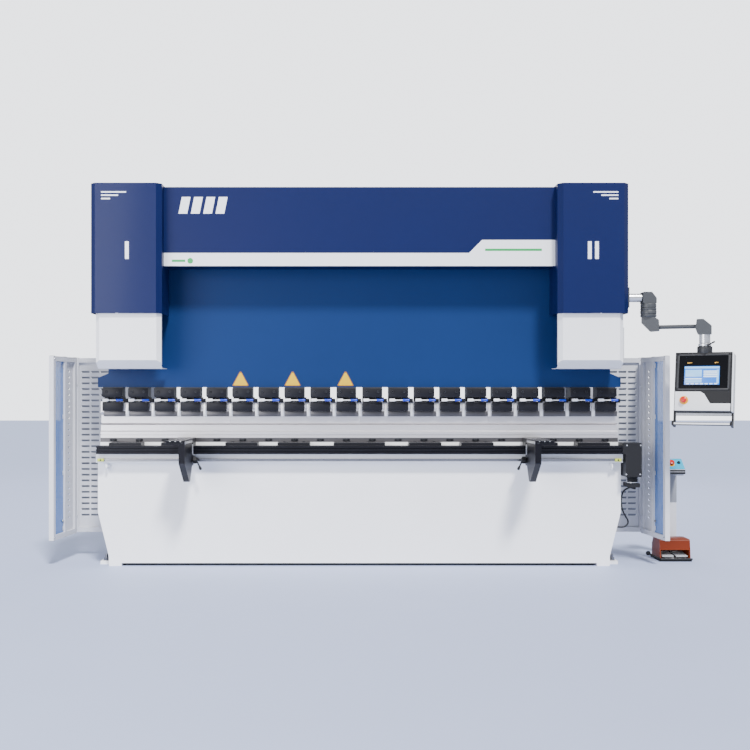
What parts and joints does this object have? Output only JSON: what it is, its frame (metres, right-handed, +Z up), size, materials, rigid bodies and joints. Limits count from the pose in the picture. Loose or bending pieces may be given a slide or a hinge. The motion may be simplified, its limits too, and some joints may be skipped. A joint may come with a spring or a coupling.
{
  "type": "press brake",
  "caption": "Hydraulic press brake with side cylinders, quick-clamped punch over a V die, front sheet supports, back gauge, swinging control pendant and foot switch.",
  "frame": {"origin": "on the floor under the tool line, midway between the two front anchor holes", "axes": "+X along the bed to the operator's right, +Y from the operator to the back, +Z up"},
  "size_m": [4.0718, 1.6447, 2.3],
  "materials": {
    "white_paint": "textured powder coat",
    "blue_paint": "smooth gloss paint",
    "ram_paint": "smooth satin paint",
    "strip_paint": "gloss paint",
    "guard_paint": "light grey powder coat",
    "frame_paint": "light grey paint on thick plate",
    "tank_paint": "gloss paint",
    "motor_paint": "dark grey paint on a cast housing",
    "cabinet_paint": "fine textured powder coat",
    "ground_steel": "ground tool steel",
    "machined_steel": "machined steel with an oil film",
    "black_oxide": "black oxide on steel",
    "black_anodised": "black anodised",
    "rail_steel": "hardened and ground",
    "hard_chrome": "polished hard chrome",
    "lever_metal": "zinc plated with coloured grips",
    "grey_casting": "grey paint on a light alloy casting",
    "black_plastic": "fine textured moulding",
    "button_red": "smooth moulded plastic",
    "screen_glass": "smooth dark glass",
    "blue_window": "clear tinted sheet",
    "hood_orange": "textured paint",
    "pedal_grey": "ribbed cast plate",
    "cable_black": "smooth cable sheath"
  },
  "bodies": {
    "machine": {"left_side_frame": "frame_paint", "right_side_frame": "frame_paint", "bed_table": "white_paint", "bed_front_plate": "white_paint", "bed_feet": "white_paint", "rear_beam": "frame_paint", "oil_tank": "tank_paint", "pump_motor": "motor_paint", "cylinders": "machined_steel", "ram_guides": "machined_steel", "fascia_panel": "blue_paint", "fascia_strip": "strip_paint", "left_cylinder_cover": "blue_paint", "right_cylinder_cover": "blue_paint", "column_covers": "white_paint", "die_rail": "machined_steel", "die_set_screws": "black_oxide", "lower_die": "ground_steel", "front_ledge": "white_paint", "front_beam": "black_anodised", "front_beam_brackets": "black_oxide", "support_rail": "rail_steel", "drive_box": "black_plastic", "drive_cable": "cable_black", "left_guard_panel": "guard_paint", "right_guard_panel": "guard_paint", "pendant_bracket": "grey_casting", "foot_switch_base": "black_plastic", "foot_switch_hood": "hood_orange", "control_pedestal": "guard_paint", "electrical_cabinet": "cabinet_paint", "gauge_rails": "machined_steel"},
    "ram": {"ram_plate": "ram_paint", "piston_rods": "hard_chrome", "clamp_holders": "machined_steel", "clamp_blocks": "black_oxide", "clamp_plates": "black_oxide", "punches": "ground_steel"},
    "clamp_wedges": {"clamp_levers": "lever_metal"},
    "left_support": {"left_support_arm": "black_anodised"},
    "right_support": {"right_support_arm": "black_anodised"},
    "left_support_lock": {"left_arm_lever": "black_plastic"},
    "right_support_lock": {"right_arm_lever": "black_plastic"},
    "left_guard": {"left_guard_door": "guard_paint", "left_guard_window": "blue_window"},
    "right_guard": {"right_guard_door": "guard_paint", "right_guard_window": "blue_window"},
    "arm": {"swing_arm": "grey_casting"},
    "pendant": {"pendant_housing": "black_plastic", "pendant_screen": "screen_glass"},
    "pendant_stop": {"pendant_stop_button": "button_red"},
    "pedal_left": {"left_pedal": "pedal_grey"},
    "pedal_right": {"right_pedal": "pedal_grey"},
    "pedestal_stop": {"pedestal_stop_button": "button_red"},
    "cabinet_front": {"cabinet_door": "cabinet_paint"},
    "gauge": {"gauge_carriage": "black_anodised"},
    "gauge_spindle": {"gauge_screw": "hard_chrome"},
    "gauge_lift": {"gauge_beam": "black_anodised"},
    "finger_left": {"left_gauge_finger": "machined_steel"},
    "finger_right": {"right_gauge_finger": "machined_steel"}
  },
  "joints": [
    {"name": "ram_stroke", "type": "slide", "parent": "machine", "child": "ram", "axis": [0, 0, 1], "range_m": [-0.005, 0.17]},
    {"name": "wedge_shift", "type": "slide", "parent": "ram", "child": "clamp_wedges", "axis": [1, 0, 0], "range_m": [0, 0.012]},
    {"name": "left_support_travel", "type": "slide", "parent": "machine", "child": "left_support", "axis": [1, 0, 0], "range_m": [-0.4, 0.9]},
    {"name": "right_support_travel", "type": "slide", "parent": "machine", "child": "right_support", "axis": [1, 0, 0], "range_m": [-0.9, 0.4]},
    {"name": "left_lock_turn", "type": "hinge", "parent": "left_support", "child": "left_support_lock", "pos_m": [-1.005, -0.2, 0.655], "axis": [-1, 0, 0], "range_deg": [0, 80]},
    {"name": "right_lock_turn", "type": "hinge", "parent": "right_support", "child": "right_support_lock", "pos_m": [1.005, -0.2, 0.655], "axis": [-1, 0, 0], "range_deg": [0, 80]},
    {"name": "left_guard_swing", "type": "hinge", "parent": "machine", "child": "left_guard", "pos_m": [-1.826, 0.235, 0.7], "axis": [0, 0, 1], "range_deg": [-80, 20]},
    {"name": "right_guard_swing", "type": "hinge", "parent": "machine", "child": "right_guard", "pos_m": [1.826, 0.235, 0.7], "axis": [0, 0, 1], "range_deg": [-18, 12]},
    {"name": "arm_swing", "type": "hinge", "parent": "machine", "child": "arm", "pos_m": [1.722, -0.262, 1.5315], "axis": [0, 0, 1], "range_deg": [-60, 15]},
    {"name": "pendant_swivel", "type": "hinge", "parent": "arm", "child": "pendant", "pos_m": [2.01808, -0.37803, 1.35], "axis": [0, 0, 1], "range_deg": [-45, 45]},
    {"name": "pendant_stop_push", "type": "slide", "parent": "pendant", "child": "pendant_stop", "axis": [0.4441, 0.8715, -0.2079], "range_m": [0, 0.005], "stiffness_N_per_m": 800},
    {"name": "left_pedal_press", "type": "hinge", "parent": "machine", "child": "pedal_left", "pos_m": [1.946, 0.199, 0.04], "axis": [1, 0, 0], "range_deg": [0, 5], "stiffness_Nm_per_rad": 20, "springref_deg": -1.72},
    {"name": "right_pedal_press", "type": "hinge", "parent": "machine", "child": "pedal_right", "pos_m": [2.034, 0.199, 0.04], "axis": [1, 0, 0], "range_deg": [0, 5], "stiffness_Nm_per_rad": 20, "springref_deg": -1.72},
    {"name": "pedestal_stop_push", "type": "slide", "parent": "machine", "child": "pedestal_stop", "axis": [0, 0.6, -0.8], "range_m": [0, 0.005], "stiffness_N_per_m": 800, "springref_m": -0.002},
    {"name": "cabinet_door_swing", "type": "hinge", "parent": "machine", "child": "cabinet_front", "pos_m": [1.789, 0.97, 1], "axis": [0, 0, 1], "range_deg": [0, 110]},
    {"name": "gauge_travel", "type": "slide", "parent": "machine", "child": "gauge", "axis": [0, 1, 0], "range_m": [0, 0.4]},
    {"name": "gauge_screw_spin", "type": "hinge", "parent": "machine", "child": "gauge_spindle", "pos_m": [0, 0.05, 0.68], "axis": [0, 1, 0], "range_deg": [-10, 14410]},
    {"name": "gauge_height", "type": "slide", "parent": "gauge", "child": "gauge_lift", "axis": [0, 0, 1], "range_m": [-0.04, 0.12]},
    {"name": "left_finger_travel", "type": "slide", "parent": "gauge_lift", "child": "finger_left", "axis": [1, 0, 0], "range_m": [-0.35, 0.3]},
    {"name": "right_finger_travel", "type": "slide", "parent": "gauge_lift", "child": "finger_right", "axis": [1, 0, 0], "range_m": [-0.3, 0.35]}
  ],
  "couplings": [
    {"joint": "gauge_screw_spin", "follows": "gauge_travel", "rad_per_m": 628.32}
  ]
}
